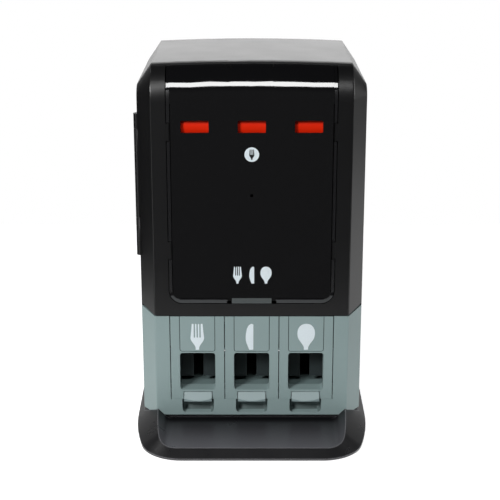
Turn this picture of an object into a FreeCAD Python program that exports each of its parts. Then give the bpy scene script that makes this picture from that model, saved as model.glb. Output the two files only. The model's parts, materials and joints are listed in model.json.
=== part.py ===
import FreeCAD, Part
import math
import os

# Cutlery dispenser with three lanes, a hinged door and a catch tray
# Millimetres. X to the right, Y to the back, Z up, origin under the middle of the base

V = FreeCAD.Vector
X, Y, Z = V(1, 0, 0), V(0, 1, 0), V(0, 0, 1)

# Lanes, from the stack of cutlery outwards
MAGAZINE_INNER = 44.0
MAGAZINE_WALL = 2.0
RAIL_GAP = 0.6
RAIL_THICK = 2.0
ARM_GAP = 0.6
ARM_THICK = 2.5
LANE_SPACE = 4.6
MAGAZINE_HALF = MAGAZINE_INNER / 2
MAGAZINE_OUTER = MAGAZINE_HALF + MAGAZINE_WALL
RAIL_INNER = MAGAZINE_OUTER + RAIL_GAP
RAIL_OUTER = RAIL_INNER + RAIL_THICK
ARM_INNER = RAIL_OUTER + ARM_GAP
ARM_OUTER = ARM_INNER + ARM_THICK
PITCH = 2 * ARM_OUTER + LANE_SPACE
LANES = (("fork", -PITCH), ("knife", 0.0), ("spoon", PITCH))
LANE_EDGE_SHARES = (-1.5, -0.5, 0.5, 1.5)

# Body
OPENING_MARGIN = 0.5
FRONT_SIDE = 17.0
BEVEL = 16.8
BEVEL_FALL = 23.5
BEVEL_TURN = 45.0
BEVEL_TURN_SPREAD = 15.0
BEVEL_EDGE_R = 2.0
BODY_DEPTH = 210.0
WALL = 3.0
OPENING_HALF = len(LANES) * PITCH / 2 + OPENING_MARGIN
FRONT_HALF = OPENING_HALF + FRONT_SIDE
HALF = FRONT_HALF + BEVEL
BODY_WIDTH = 2 * HALF

# Heights, each from the one below it
HOUSING_Z = 13.0
SILL_HEIGHT = 20.2
MOUTH_RISE = 12.2
MOUTH_HEIGHT = 47.0
LABEL_RISE = 1.6
LABEL_HEIGHT = 44.4
DOOR_HEIGHT = 294.6
SILL_Z = HOUSING_Z + SILL_HEIGHT
MOUTH_LOW_Z = SILL_Z + MOUTH_RISE
MOUTH_HIGH_Z = MOUTH_LOW_Z + MOUTH_HEIGHT
LABEL_LOW_Z = MOUTH_HIGH_Z + LABEL_RISE
SPLIT_Z = LABEL_LOW_Z + LABEL_HEIGHT
TOP_Z = SPLIT_Z + DOOR_HEIGHT

# Nose and crowned top
NOSE_R = 38.0
CROWN_RISE = 2.7
CROWN_R = FRONT_HALF ** 2 / (2 * CROWN_RISE)

# Base and catch tray
TRAY_LENGTH = 97.8
TRAY_FLARE = 7.4
TRAY_CORNER_R = 49.0
TRAY_CORNER_SIDE = 58.3
TRAY_SWEEP_SETBACK = 24.6
TRAY_LIFT = 1.0
TRAY_EDGE = 2.0
TRAY_SKIN = 3.0
SKIRT_RUN = 25.0
SKIRT_ANGLE = 36.0
CREST = 0.8
DISH_FLOOR_Z = 8.0
DISH_LIP = 15.1
DISH_CORNER_R = 14.0
DISH_SIDE = 13.1
DISH_ROUND = 9.0
PAD_INSET = 6.0
SEAT_GAP = 0.4
TRAY_WIDTH = BODY_WIDTH + 2 * TRAY_FLARE
TRAY_STRAIGHT = TRAY_WIDTH / 2 - TRAY_CORNER_SIDE
TRAY_FRONT_Y = -(BODY_DEPTH + TRAY_LENGTH) / 2
FRONT_Y = TRAY_FRONT_Y + TRAY_LENGTH
BACK_Y = FRONT_Y + BODY_DEPTH
BACK_PANEL_Y = BACK_Y - WALL
TRAY_SWEEP_Y = FRONT_Y + TRAY_SWEEP_SETBACK

# Rubber feet
FOOT_R = 8.0
FOOT_DEPTH = 2.5
FOOT_SIDE = 30.3
FOOT_FRONT = 32.0
FOOT_BACK = 25.0
FOOT_BOSS = 3.0
FOOT_ROUND = 0.6
FOOT_X = HALF - FOOT_SIDE

# Lines between the casings
SPLIT_RISE = 6.0
PARTING_KNEE_DROP = 33.0
PARTING_SETBACK = 30.5
PARTING_GAP = 0.5
BACK_PANEL_GAP = 0.2
DOOR_GAP = 0.6
DOOR_FLARE = 2.0
PARTING_Y = FRONT_Y + BEVEL_FALL
PARTING_KNEE_Z = TOP_Z - PARTING_KNEE_DROP

# Clearances and tools
RUNNING = 0.05
SLIDING = 0.4
OVER = 5.0
TINY = 1e-4

# Front sill, scoops and floor flange of the lower housing
SILL_DEPTH = 15.0
FLANGE = 3.0
FLANGE_WIDTH = 27.0
SCOOP_WIDTH = 37.6
SCOOP_RISE = 2.8
SCOOP_DEPTH = 13.0
SCOOP_R = 5.0
SCOOP_SLOT_DROP = 7.8
SCOOP_Z = HOUSING_Z + SCOOP_RISE

# Lane plates
PLATE_GAP = 1.0
PLATE = 2.5
PLATE_SEAT = 0.2
PLATE_TOP_GAP = 0.3
MOUTH_INSET = 1.05
MOUTH_R = 3.5
TUNNEL_END = 17.0
TUNNEL_WALL = 1.5
LABEL_WIDTH = 42.0
LABEL_DEPTH = 1.8
LABEL_R = 3.0
LABEL_GAP = 0.7
TUNNEL_Y = FRONT_Y + TUNNEL_END

# Symbols on the labels
SYMBOL_RISE = 2.4
SYMBOL_HEIGHT = 32.6
SYMBOL_THICK = 0.25
FORK_WIDTH = 15.8
TINE_GAP = 1.7
TINE_END_SHARE = 0.49
TINE_TIP_R = 0.7
KNIFE_WIDTH = 9.0
KNIFE_SHIFT = 2.5
KNIFE_FOOT_R = 0.8
SPOON_WIDTH = 20.6
FORK_NECK = 4.2
SPOON_NECK = 5.0
SYMBOL_LOW_Z = LABEL_LOW_Z + SYMBOL_RISE

# Magazines and chutes
MAGAZINE_TOP_DROP = 28.0
CHUTE_DROP = 1.0
CHUTE_FLOOR = 2.4
LOADING_RISE = 11.6
LOADING_SETBACK = 33.0
LEG_SETBACK = 80.0
GUIDE_SETBACK = 27.0
GUIDE_THICK = 3.0
GUIDE_SLOT = 11.6
GUIDE_LIFT = 7.5
MAGAZINE_TOP_Z = TOP_Z - MAGAZINE_TOP_DROP
CHUTE_FLOOR_Z = MOUTH_LOW_Z - CHUTE_DROP
LOADING_Z = SPLIT_Z + LOADING_RISE

# Levers and their axle
LEVER_SETBACK = 22.0
LEVER_RISE = 2.8
LEVER_HUB_R = 5.0
LEVER_SWING = 25.0
AXLE_R = 2.5
AXLE_RIB = 3.0
AXLE_RIB_REACH = 7.0
AXLE_RIB_RISE = 5.8
TAB_WIDTH = 32.8
TAB_GAP = 0.8
TAB_TOP_RISE = 9.1
TAB_UNDER_DROP = 2.7
TAB_SETBACK = 1.0
LIP_REACH = 5.0
LIP_SAG = 1.6
LIP_DROP = 0.2
LIP_THICK = 1.0
ARM_LENGTH = 45.0
ARM_WIDTH = 8.0
PIN_R = 2.0
LEVER_Y = FRONT_Y + LEVER_SETBACK
LEVER_Z = SILL_Z + LEVER_RISE
TAB_TOP_Z = SILL_Z + TAB_TOP_RISE
TAB_UNDER_Z = SILL_Z - TAB_UNDER_DROP
LIP_TOP_Z = SILL_Z - LIP_DROP
REST_TILT = LEVER_SWING / 2
PIN_Y = LEVER_Y + ARM_LENGTH * math.sin(math.radians(REST_TILT))
PIN_Z = LEVER_Z + ARM_LENGTH * (1 + math.cos(math.radians(REST_TILT))) / 2
EJECT_STROKE = 2 * ARM_LENGTH * math.sin(math.radians(REST_TILT))

# Ejectors
RAIL_HEIGHT = 12.0
RAIL_NOSE = 8.2
PIN_SLOT_LENGTH = 8.0
BAR_HEIGHT = 4.0
BAR_THICK = 4.0
BAR_LIFT = 1.0
BAR_BACK_GAP = 3.0
BAR_SLOT_MARGIN = 1.0
LEG_WIDTH = 10.0
GUIDE_RIB = 2.0
GUIDE_RIB_REACH = 3.0
FRONT_RIB_SETBACK = 42.0
FRONT_RIB = 30.0
REAR_RIB_SETBACK = 110.0
REAR_RIB = 60.0
RAIL_LOW_Z = PIN_Z - RAIL_HEIGHT / 2
RAIL_HIGH_Z = PIN_Z + RAIL_HEIGHT / 2
BAR_Z = CHUTE_FLOOR_Z + BAR_LIFT
BAR_Y = BACK_PANEL_Y - MAGAZINE_WALL - BAR_BACK_GAP - BAR_THICK

# Return springs
SPRING_SETBACK = 100.0
SPRING_REACH = 40.0
SPRING_LIFT = 6.0
SPRING_R = 1.9
SPRING_WIRE = 0.8
SPRING_TURNS = 12
SPRING_OFFSET = 5.3
PEG_R = 1.2
LUG_WIDTH = 5.0
LUG_HEIGHT = 9.0
SPRING_Y = FRONT_Y + SPRING_SETBACK
SPRING_Z = RAIL_HIGH_Z + SPRING_LIFT

# Door panel
PANEL_SIDE = 17.9
PANEL_RISE = 16.3
PANEL_CORNER_R = 15.0
PANEL_TOP_SETBACK = 24.0
PANEL_GAP = 0.9
PANEL_SEAT = 1.6
FLANGE_SINK = 0.2
FIELD_SIDE = 3.9
FIELD_RISE = 5.8
FIELD_CORNER_R = 7.5
FIELD_HEIGHT = 1.1
WINDOW_WIDTH = 31.5
WINDOW_DROP = 75.9
WINDOW_HEIGHT = 13.8
WINDOW_R = 1.0
WINDOW_MARGIN = 1.5
SNAP_HALF = 23.0
SNAP_HEIGHT = 6.8
SNAP_STEP = 1.0
NOTCH_WIDTH = 6.0
NOTCH_HEIGHT = 3.0
TOP_NOTCH_WIDTH = 2.0
TOP_NOTCH_LENGTH = 6.0
PANEL_HALF = FRONT_HALF - PANEL_SIDE
PANEL_LOW_Z = SPLIT_Z + PANEL_RISE
PANEL_TOP_Y = FRONT_Y + PANEL_TOP_SETBACK
FIELD_HALF = PANEL_HALF - FIELD_SIDE
FIELD_LOW_Z = PANEL_LOW_Z + FIELD_RISE
WINDOW_LOW_Z = TOP_Z - WINDOW_DROP

# Catches and moulding mark of the panel
CATCH_LENGTH = 20.0
CATCH_WIDTH = 2.4
CATCH_RISE = 54.3
CATCH_DROP = 9.5
GATE_DROP = 72.8
GATE_R = 1.5
GATE_RING_R = 4.6
GATE_DEPTH = 0.8
GATE_RING_DEPTH = 0.2
CATCH_LOW_ZS = (PANEL_LOW_Z + CATCH_RISE, WINDOW_LOW_Z - CATCH_DROP)
GATE_Z = WINDOW_LOW_Z - GATE_DROP

# Hinge on the left
HINGE_R = 4.0
HINGE_PROUD = 0.1
HINGE_SET = 2.0
HINGE_DROP = 58.1
HINGE_RISE = 51.9
KNUCKLE_END = 18.2
KNUCKLE_DOOR = 27.3
HINGE_PIN_R = 1.5
HINGE_PIN_STAND = 0.8
LEAF = 1.2
LEAF_REACH = 10.0
HINGE_X = -HALF - HINGE_PROUD
HINGE_Y = PARTING_Y + HINGE_SET
HINGE_TOP_Z = TOP_Z - HINGE_DROP
HINGE_LOW_Z = PANEL_LOW_Z + HINGE_RISE
KNUCKLE_MIDDLE = HINGE_TOP_Z - HINGE_LOW_Z - 2 * (KNUCKLE_END + KNUCKLE_DOOR)

# Door magnet and keeper
MAGNET_RISE = 115.3
MAGNET_HEIGHT = 30.0
MAGNET_WIDTH = 12.0
MAGNET_DEPTH = 8.0
KEEPER = 1.6
KEEPER_WIDTH = 8.0
KEEPER_GAP = 0.3
MAGNET_LOW_Z = PANEL_LOW_Z + MAGNET_RISE

# Level flags
FLAG_R = 25.0
FLAG_WIDTH = 36.0
FLAG_THICK = 1.5
FLAG_HALF_ANGLE = 24.0
FLAG_SETBACK = 1.0
FLAG_HUB_R = 3.5
FLAG_HUB_WIDTH = 30.0
FLAG_WEB = 2.0
FEELER_WIDTH = 6.0
FEELER_THICK = 4.0
FEELER_BACK = 31.0
FEELER_DROP = 29.0
FEELER_FOOT_R = 8.0
FLAG_ROD_R = 1.5
BRACKET_PLATE = 2.0
BRACKET_RISE = 11.0
BRACKET_HEIGHT = 16.0
BRACKET_EAR = 3.0
BRACKET_EAR_RISE = 8.0
FLAG_Z = WINDOW_LOW_Z + WINDOW_HEIGHT / 2
FLAG_Y = FRONT_Y + WALL + FLAG_SETBACK + FLAG_R
BRACKET_LOW_Z = FLAG_Z + BRACKET_RISE
BRACKET_HIGH_Z = BRACKET_LOW_Z + BRACKET_HEIGHT

# Screws
SCREW_R = 1.75
SCREW_HEAD_R = 3.6
SCREW_HEAD = 2.4
SCREW_LENGTH = 15.0
SCREW_BOSS_R = 5.0
BASE_SCREW_SIDE = 17.5
BASE_SCREW_FRONT = 40.0
BASE_SCREW_BACK = 55.0
BACK_BOSS_SINK = 1.0
BACK_SCREW_LOW = 47.0
BACK_SCREW_MIDDLE = 91.6
BACK_SCREW_DROP = 43.0
BACK_SCREW_R = 1.5
BACK_HEAD_R = 3.2
BACK_HEAD = 1.6
BACK_SCREW_LENGTH = 10.0
BACK_BOSS_LENGTH = 14.0
BASE_SCREW_X = HALF - BASE_SCREW_SIDE
BASE_SCREW_YS = (FRONT_Y + BASE_SCREW_FRONT, BACK_Y - BASE_SCREW_BACK)
BACK_SCREW_X = HALF - WALL - SCREW_BOSS_R + BACK_BOSS_SINK
BACK_SCREW_ZS = (HOUSING_Z + BACK_SCREW_LOW, SPLIT_Z + BACK_SCREW_MIDDLE, TOP_Z - BACK_SCREW_DROP)


def box(x0, x1, y0, y1, z0, z1):
    return Part.makeBox(x1 - x0, y1 - y0, z1 - z0, V(x0, y0, z0))


def rod(radius, start, end):
    return Part.makeCylinder(radius, (end - start).Length, start, end - start)


def prism(points, travel):
    return Part.Face(Part.makePolygon(points + points[:1])).extrude(travel)


def straight_edges(solid, axis, keep=lambda centre: True):
    # Edges that run along one axis and whose middle passes the test
    found = []
    for edge in solid.Edges:
        b = edge.BoundBox
        spans = {"X": b.XLength, "Y": b.YLength, "Z": b.ZLength}
        if sum(spans.values()) - spans[axis] < TINY and keep(b.Center):
            found.append(edge)
    return found


def rounded_block(x0, x1, y0, y1, z0, z1, radius, all_corners=True):
    # A block along Y with rounded lower corners, or all four
    block = box(x0, x1, y0, y1, z0, z1)
    middle = (z0 + z1) / 2
    corners = straight_edges(block, "Y", lambda c: all_corners or c.z < middle)
    return block.makeFillet(radius, corners)


def fused(shapes):
    return shapes[0].multiFuse(shapes[1:]).removeSplitter()


# The outer form of the body

def crowned_slab(inset, back):
    # Front face, nose and crowned top, wider than the body; the crown turns about an axis far below
    low = -NOSE_R
    nose_y, nose_z, radius = FRONT_Y + NOSE_R, TOP_Z - NOSE_R, NOSE_R - inset
    slant = radius / math.sqrt(2)
    foot, spring = V(0, FRONT_Y + inset, low), V(0, FRONT_Y + inset, nose_z)
    crest, heel, sole = V(0, nose_y, TOP_Z - inset), V(0, back, TOP_Z - inset), V(0, back, low)
    shoulder = V(0, nose_y - slant, nose_z + slant)
    outline = Part.Wire([
        Part.makeLine(foot, spring),
        Part.Arc(spring, shoulder, crest).toShape(),
        Part.makeLine(crest, heel),
        Part.makeLine(heel, sole),
        Part.makeLine(sole, foot),
    ])
    axis = V(0, 0, TOP_Z - CROWN_R)
    sweep = math.degrees(math.asin(BODY_WIDTH / (CROWN_R - TOP_Z - NOSE_R)))
    face = Part.Face(outline)
    face.rotate(axis, Y, -sweep)
    return face.revolve(axis, Y, 2 * sweep)


def body_form(inset, bottom=HOUSING_Z, back=BACK_Y):
    # The whole casing as a solid, drawn inside its outer surface by the inset
    half = HALF - inset
    room = box(-half, half, FRONT_Y - OVER, back, bottom, TOP_Z + OVER)
    block = crowned_slab(inset, back + OVER).common(room)
    edges = []
    for edge in block.Edges:
        b = edge.BoundBox
        at_side = b.XLength < TINY and abs(abs(b.Center.x) - half) < TINY
        at_bottom = b.ZLength < TINY and b.ZMin < bottom + TINY
        at_back = b.YLength < TINY and b.YMin > back - TINY
        if at_side and not at_bottom and not at_back:
            edges.append(edge)
    across, down = 1 / BEVEL, 1 / BEVEL_FALL
    size_share = 1 - inset * (across + down - math.hypot(across, down))
    return block.makeChamfer(BEVEL * size_share, BEVEL_FALL * size_share, edges)


def middle_normal(face, edge):
    # The face's outward direction beside the middle of one of its edges
    place = edge.valueAt((edge.FirstParameter + edge.LastParameter) / 2)
    return face.normalAt(*face.Surface.parameter(place))


def turn_between(faces, edge):
    first, second = [middle_normal(face, edge) for face in faces]
    return math.degrees(first.getAngle(second))


def bevel_edges(form):
    # The edges along both sides of the bevels, where two faces meet at about half a right angle
    found = []
    for edge in form.Edges:
        faces = [face for face in form.Faces if any(edge.isSame(other) for other in face.Edges)]
        turn = turn_between(faces, edge)
        if edge.Length > BEVEL_FALL + BEVEL_EDGE_R and abs(turn - BEVEL_TURN) < BEVEL_TURN_SPREAD:
            found.append(edge)
    return found


def casing():
    hollow = body_form(WALL, HOUSING_Z - OVER, BACK_Y + OVER)
    outer = body_form(0)
    return outer.makeFillet(BEVEL_EDGE_R, bevel_edges(outer)).cut(hollow)


def door_side(gap):
    # All that lies on the door's side of the parting, drawn back from it by the gap
    front, top = FRONT_Y - OVER, TOP_Z + OVER
    side_y, top_y = PARTING_Y - gap, FRONT_Y + PARTING_SETBACK - gap
    outline = [
        V(-BODY_WIDTH, front, 0),
        V(-BODY_WIDTH, side_y, 0),
        V(-BODY_WIDTH, side_y, PARTING_KNEE_Z),
        V(-BODY_WIDTH, top_y, TOP_Z),
        V(-BODY_WIDTH, top_y, top),
        V(-BODY_WIDTH, front, top),
    ]
    return prism(outline, 2 * BODY_WIDTH * X)


def below_split(gap, flare):
    # All that lies under the line between grey and black, which climbs across the bevels
    front, inner, low = FRONT_Y - OVER, HALF - BEVEL - flare, SPLIT_Z + gap
    high = low + SPLIT_RISE + flare
    outline = [
        V(-BODY_WIDTH, front, 0),
        V(BODY_WIDTH, front, 0),
        V(BODY_WIDTH, front, high),
        V(HALF, front, high),
        V(inner, front, low),
        V(-inner, front, low),
        V(-HALF, front, high),
        V(-BODY_WIDTH, front, high),
    ]
    return prism(outline, (BODY_DEPTH + 2 * OVER) * Y)


# Base and catch tray

def polar(centre, radius, degrees):
    turn = math.radians(degrees)
    return centre + V(radius * math.cos(turn), radius * math.sin(turn), 0)


def sweep_radius():
    # Side arc that meets the corner arc and the straight side without a kink
    across = TRAY_WIDTH / 2 - TRAY_STRAIGHT
    along = TRAY_SWEEP_Y - TRAY_FRONT_Y - TRAY_CORNER_R
    return (across ** 2 + along ** 2 - TRAY_CORNER_R ** 2) / (2 * (across - TRAY_CORNER_R))


def tray_wire(inset, z):
    # Plan outline: straight front, corner arcs, long side arcs, straight sides and back
    sweep_r = sweep_radius()
    corner = V(TRAY_STRAIGHT, TRAY_FRONT_Y + TRAY_CORNER_R, z)
    sweep = V(TRAY_WIDTH / 2 - sweep_r, TRAY_SWEEP_Y, z)
    joint = math.degrees(math.atan2(corner.y - sweep.y, corner.x - sweep.x))
    corner_r, side_r = TRAY_CORNER_R - inset, sweep_r - inset
    start = polar(corner, corner_r, -90)
    meet = polar(corner, corner_r, joint)
    end = polar(sweep, side_r, 0)
    back = V(end.x, BACK_Y - inset, z)
    corner_arc = Part.Arc(start, polar(corner, corner_r, (joint - 90) / 2), meet).toShape()
    side_arc = Part.Arc(meet, polar(sweep, side_r, joint / 2), end).toShape()
    right = [corner_arc, side_arc, Part.makeLine(end, back)]
    left = [edge.mirror(V(0, 0, 0), X) for edge in right]
    flip = lambda p: V(-p.x, p.y, p.z)
    ends = [Part.makeLine(back, flip(back)), Part.makeLine(flip(start), start)]
    return Part.Wire(Part.__sortEdges__(right + left + ends))


def skirt_form(inset, drop):
    # Upright edge and sloping skirt of the base, lowered by the drop
    slope = math.tan(math.radians(SKIRT_ANGLE))
    edge_z = TRAY_LIFT + TRAY_EDGE + slope * inset - drop
    top_z = TRAY_LIFT + TRAY_EDGE + slope * SKIRT_RUN - drop
    low_z = TRAY_LIFT - (OVER if drop else 0)
    edge = Part.Face(tray_wire(inset, low_z)).extrude((edge_z - low_z) * Z)
    skirt = Part.makeLoft([tray_wire(inset, edge_z), tray_wire(SKIRT_RUN, top_z)], True, True)
    return edge.fuse(skirt)


def dish_wire(grow, z):
    half = TRAY_WIDTH / 2 - SKIRT_RUN - DISH_SIDE - CREST + grow
    front, back, radius = TRAY_FRONT_Y + DISH_LIP - grow, FRONT_Y + PAD_INSET, DISH_CORNER_R + grow
    right, left = V(half - radius, front + radius, z), V(radius - half, front + radius, z)
    a, b, c = polar(right, radius, -90), polar(right, radius, -45), polar(right, radius, 0)
    d, e, f = polar(left, radius, 180), polar(left, radius, -135), polar(left, radius, -90)
    return Part.Wire([
        Part.Arc(a, b, c).toShape(),
        Part.makeLine(c, V(half, back, z)),
        Part.makeLine(V(half, back, z), V(-half, back, z)),
        Part.makeLine(V(-half, back, z), d),
        Part.Arc(d, e, f).toShape(),
        Part.makeLine(f, a),
    ])


def dish_form(drop):
    # The hollow of the dish, with sloping walls that run into the floor in a round
    rise = SKIRT_RUN
    floor = DISH_FLOOR_Z - drop
    form = Part.makeLoft([dish_wire(0, floor), dish_wire(rise, floor + rise)], True, True)
    back = FRONT_Y + PAD_INSET
    rounds = []
    for edge in form.Edges:
        b = edge.BoundBox
        if b.ZMax < floor + TINY and b.YMin < back - TINY:
            rounds.append(edge)
    return form.makeFillet(DISH_ROUND, rounds)


def foot_places():
    rows = (TRAY_FRONT_Y + FOOT_FRONT, BACK_Y - FOOT_BACK)
    return [V(side * FOOT_X, y, 0) for side in (-1, 1) for y in rows]


def base_screw_places():
    return [V(side * BASE_SCREW_X, y, 0) for side in (-1, 1) for y in BASE_SCREW_YS]


def base_tray():
    seat = body_form(-SEAT_GAP, DISH_FLOOR_Z, BACK_Y + OVER)
    pad_top = box(-HALF, HALF, FRONT_Y, BACK_Y, 0, HOUSING_Z)
    pad = body_form(PAD_INSET, DISH_FLOOR_Z - TRAY_SKIN, BACK_Y - PAD_INSET).common(pad_top)
    tray = skirt_form(0, 0).cut(dish_form(0)).cut(seat).fuse(pad)
    seat.translate(-TRAY_SKIN * Z)
    under = skirt_form(TRAY_SKIN, TRAY_SKIN).cut(dish_form(TRAY_SKIN)).cut(seat)
    pad_room = box(-HALF, HALF, FRONT_Y, BACK_Y, 0, HOUSING_Z - TRAY_SKIN)
    inner = PAD_INSET + TRAY_SKIN
    under = under.fuse(body_form(inner, 0, BACK_Y - inner).common(pad_room))
    for place in foot_places():
        under = under.cut(rod(FOOT_R + FOOT_BOSS, place, place + HOUSING_Z * Z))
    tray = tray.cut(under)
    for place in foot_places():
        tray = tray.cut(rod(FOOT_R, place, place + FOOT_DEPTH * Z))
    for place in base_screw_places():
        tray = tray.cut(rod(SCREW_R + RUNNING, place, place + (HOUSING_Z + OVER) * Z))
    return tray.removeSplitter()


def rubber_feet():
    feet = []
    for place in foot_places():
        foot = rod(FOOT_R, place, place + FOOT_DEPTH * Z)
        feet.append(foot.makeFillet(FOOT_ROUND, [e for e in foot.Edges if e.BoundBox.ZMax < TINY]))
    return Part.makeCompound(feet)


def base_screws():
    screws = []
    for place in base_screw_places():
        seat = place + (HOUSING_Z - TRAY_SKIN) * Z
        head = rod(SCREW_HEAD_R, seat - SCREW_HEAD * Z, seat)
        screws.append(head.fuse(rod(SCREW_R, seat, seat + SCREW_LENGTH * Z)))
    return Part.makeCompound(screws)


# Lower housing

def scoop(centre_x):
    half = SCOOP_WIDTH / 2
    low, rear = SCOOP_Z, FRONT_Y + SCOOP_DEPTH
    block = box(centre_x - half, centre_x + half, FRONT_Y - OVER, rear, low, SILL_Z + OVER)
    rear_sides = straight_edges(block, "Z", lambda c: c.y > rear - TINY)
    bottom_sides = straight_edges(block, "Y", lambda c: c.z < low + TINY)
    bottom_rear = straight_edges(block, "X", lambda c: c.z < low + TINY and c.y > rear - TINY)
    return block.makeFillet(SCOOP_R, rear_sides + bottom_sides + bottom_rear)


def back_boss(x, z):
    return rod(SCREW_BOSS_R, V(x, BACK_PANEL_Y - BACK_BOSS_LENGTH, z), V(x, BACK_PANEL_Y, z))


def back_bore(x, z):
    return rod(BACK_SCREW_R + RUNNING, V(x, BACK_PANEL_Y - BACK_BOSS_LENGTH, z), V(x, BACK_Y, z))


def lower_housing():
    shell = casing().common(below_split(0, 0))
    floor_room = box(-HALF, HALF, FRONT_Y, BACK_Y, HOUSING_Z, HOUSING_Z + FLANGE)
    floor = body_form(0).common(floor_room)
    hole = HALF - FLANGE_WIDTH
    sill_back = FRONT_Y + SILL_DEPTH
    floor = floor.cut(box(-hole, hole, sill_back, BACK_PANEL_Y, 0, SILL_Z))
    sill_half = OPENING_HALF + WALL
    sill = box(-sill_half, sill_half, FRONT_Y, sill_back, HOUSING_Z, SILL_Z)
    parts = [shell, floor, sill]
    axle_ribs = (-sill_half + AXLE_RIB / 2, -PITCH / 2, PITCH / 2, sill_half - AXLE_RIB / 2)
    for x in axle_ribs:
        rear, top = LEVER_Y + AXLE_RIB_REACH, LEVER_Z + AXLE_RIB_RISE
        parts.append(box(x - AXLE_RIB / 2, x + AXLE_RIB / 2, sill_back - WALL, rear, HOUSING_Z, top))
    for place in base_screw_places():
        seat = place + HOUSING_Z * Z
        parts.append(rod(SCREW_BOSS_R, seat, seat + SCREW_LENGTH * Z))
    for side in (-1, 1):
        parts.append(back_boss(side * BACK_SCREW_X, BACK_SCREW_ZS[0]))
    housing = fused(parts)
    half = OPENING_HALF
    housing = housing.cut(box(-half, half, FRONT_Y - OVER, FRONT_Y + WALL, SILL_Z, SPLIT_Z + OVER))
    for name, x in LANES:
        slot = TAB_WIDTH / 2 + TAB_GAP
        slot_z = SILL_Z - SCOOP_SLOT_DROP
        housing = housing.cut(scoop(x))
        housing = housing.cut(box(x - slot, x + slot, FRONT_Y + WALL, sill_back + OVER, slot_z, SILL_Z))
    axle_far = sill_half * X
    axle_mid = V(0, LEVER_Y, LEVER_Z)
    housing = housing.cut(rod(AXLE_R + RUNNING, axle_mid - axle_far, axle_mid + axle_far))
    for place in base_screw_places():
        housing = housing.cut(rod(SCREW_R + RUNNING, place, place + (HOUSING_Z + SCREW_LENGTH) * Z))
    for side in (-1, 1):
        housing = housing.cut(back_bore(side * BACK_SCREW_X, BACK_SCREW_ZS[0]))
    return housing


def lever_axle():
    far = (OPENING_HALF + WALL) * X
    middle = V(0, LEVER_Y, LEVER_Z)
    return rod(AXLE_R, middle - far, middle + far)


# Lane plates, labels and symbols

def lane_plate(x):
    half = (PITCH - PLATE_GAP) / 2
    front, rear, low, high = FRONT_Y, FRONT_Y + PLATE, SILL_Z + PLATE_SEAT, SPLIT_Z - PLATE_TOP_GAP
    mouth = MAGAZINE_HALF - MOUTH_INSET
    outer = mouth + TUNNEL_WALL
    plate = box(x - half, x + half, front, rear, low, high)
    plate = plate.fuse(rounded_block(x - outer, x + outer, front, TUNNEL_Y, MOUTH_LOW_Z - TUNNEL_WALL,
                                     MOUTH_HIGH_Z + TUNNEL_WALL, MOUTH_R + TUNNEL_WALL))
    plate = plate.cut(rounded_block(x - mouth, x + mouth, front - OVER, TUNNEL_Y + OVER, MOUTH_LOW_Z,
                                    MOUTH_HIGH_Z, MOUTH_R))
    notch = TAB_WIDTH / 2 + TAB_GAP
    plate = plate.cut(box(x - notch, x + notch, front - OVER, rear + OVER, low - OVER, TAB_TOP_Z + TAB_GAP))
    label = LABEL_WIDTH / 2
    plate = plate.cut(rounded_block(x - label, x + label, front - OVER, front + LABEL_DEPTH, LABEL_LOW_Z,
                                    high + OVER, LABEL_R, False))
    return plate.removeSplitter()


def label(x):
    half = LABEL_WIDTH / 2 - LABEL_GAP
    return rounded_block(x - half, x + half, FRONT_Y, FRONT_Y + LABEL_DEPTH, LABEL_LOW_Z + LABEL_GAP,
                         SPLIT_Z - PLATE_TOP_GAP, LABEL_R - LABEL_GAP, False)


def curve(points):
    line = Part.BSplineCurve()
    line.interpolate(points)
    return line.toShape()


def symbol_point(centre_x, width, across_share, up_share):
    return V(centre_x + across_share * width / 2, FRONT_Y, SYMBOL_LOW_Z + up_share * SYMBOL_HEIGHT)


def balanced_symbol(centre_x, width, side_shares):
    # A shape that is the same left and right, drawn from its foot up one side
    right = [symbol_point(centre_x, width, a, u) for a, u in side_shares]
    left = [symbol_point(centre_x, width, -a, u) for a, u in side_shares]
    return right, left


def raised(edges):
    return Part.Face(Part.Wire(Part.__sortEdges__(edges))).extrude(-SYMBOL_THICK * Y)


def fork_symbol(x):
    neck_share = FORK_NECK / FORK_WIDTH
    side_shares = ((neck_share, 0), (neck_share, 0.07), (0.62, 0.25), (0.97, 0.40), (0.98, 0.52), (0.80, 1))
    right, left = balanced_symbol(x, FORK_WIDTH, side_shares)
    blade = raised([
        Part.makeLine(left[0], right[0]),
        Part.makeLine(right[0], right[1]),
        curve(right[1:5]),
        Part.makeLine(right[4], right[5]),
        Part.makeLine(right[5], left[5]),
        Part.makeLine(left[5], left[4]),
        curve(left[1:5]),
        Part.makeLine(left[1], left[0]),
    ])
    slot_share, spread_share = 0.47, 0.21
    for step in (-1, 0, 1):
        middle = x + step * spread_share * FORK_WIDTH
        low = symbol_point(x, FORK_WIDTH, 0, slot_share).z
        top = SYMBOL_LOW_Z + SYMBOL_HEIGHT + OVER
        blade = blade.cut(rounded_block(middle - TINE_GAP / 2, middle + TINE_GAP / 2, FRONT_Y - OVER,
                                        FRONT_Y + OVER, low, top, TINE_GAP * TINE_END_SHARE, False))
    tips = straight_edges(blade, "Y", lambda c: c.z > SYMBOL_LOW_Z + SYMBOL_HEIGHT - TINY)
    return blade.makeFillet(TINE_TIP_R, tips)


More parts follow.
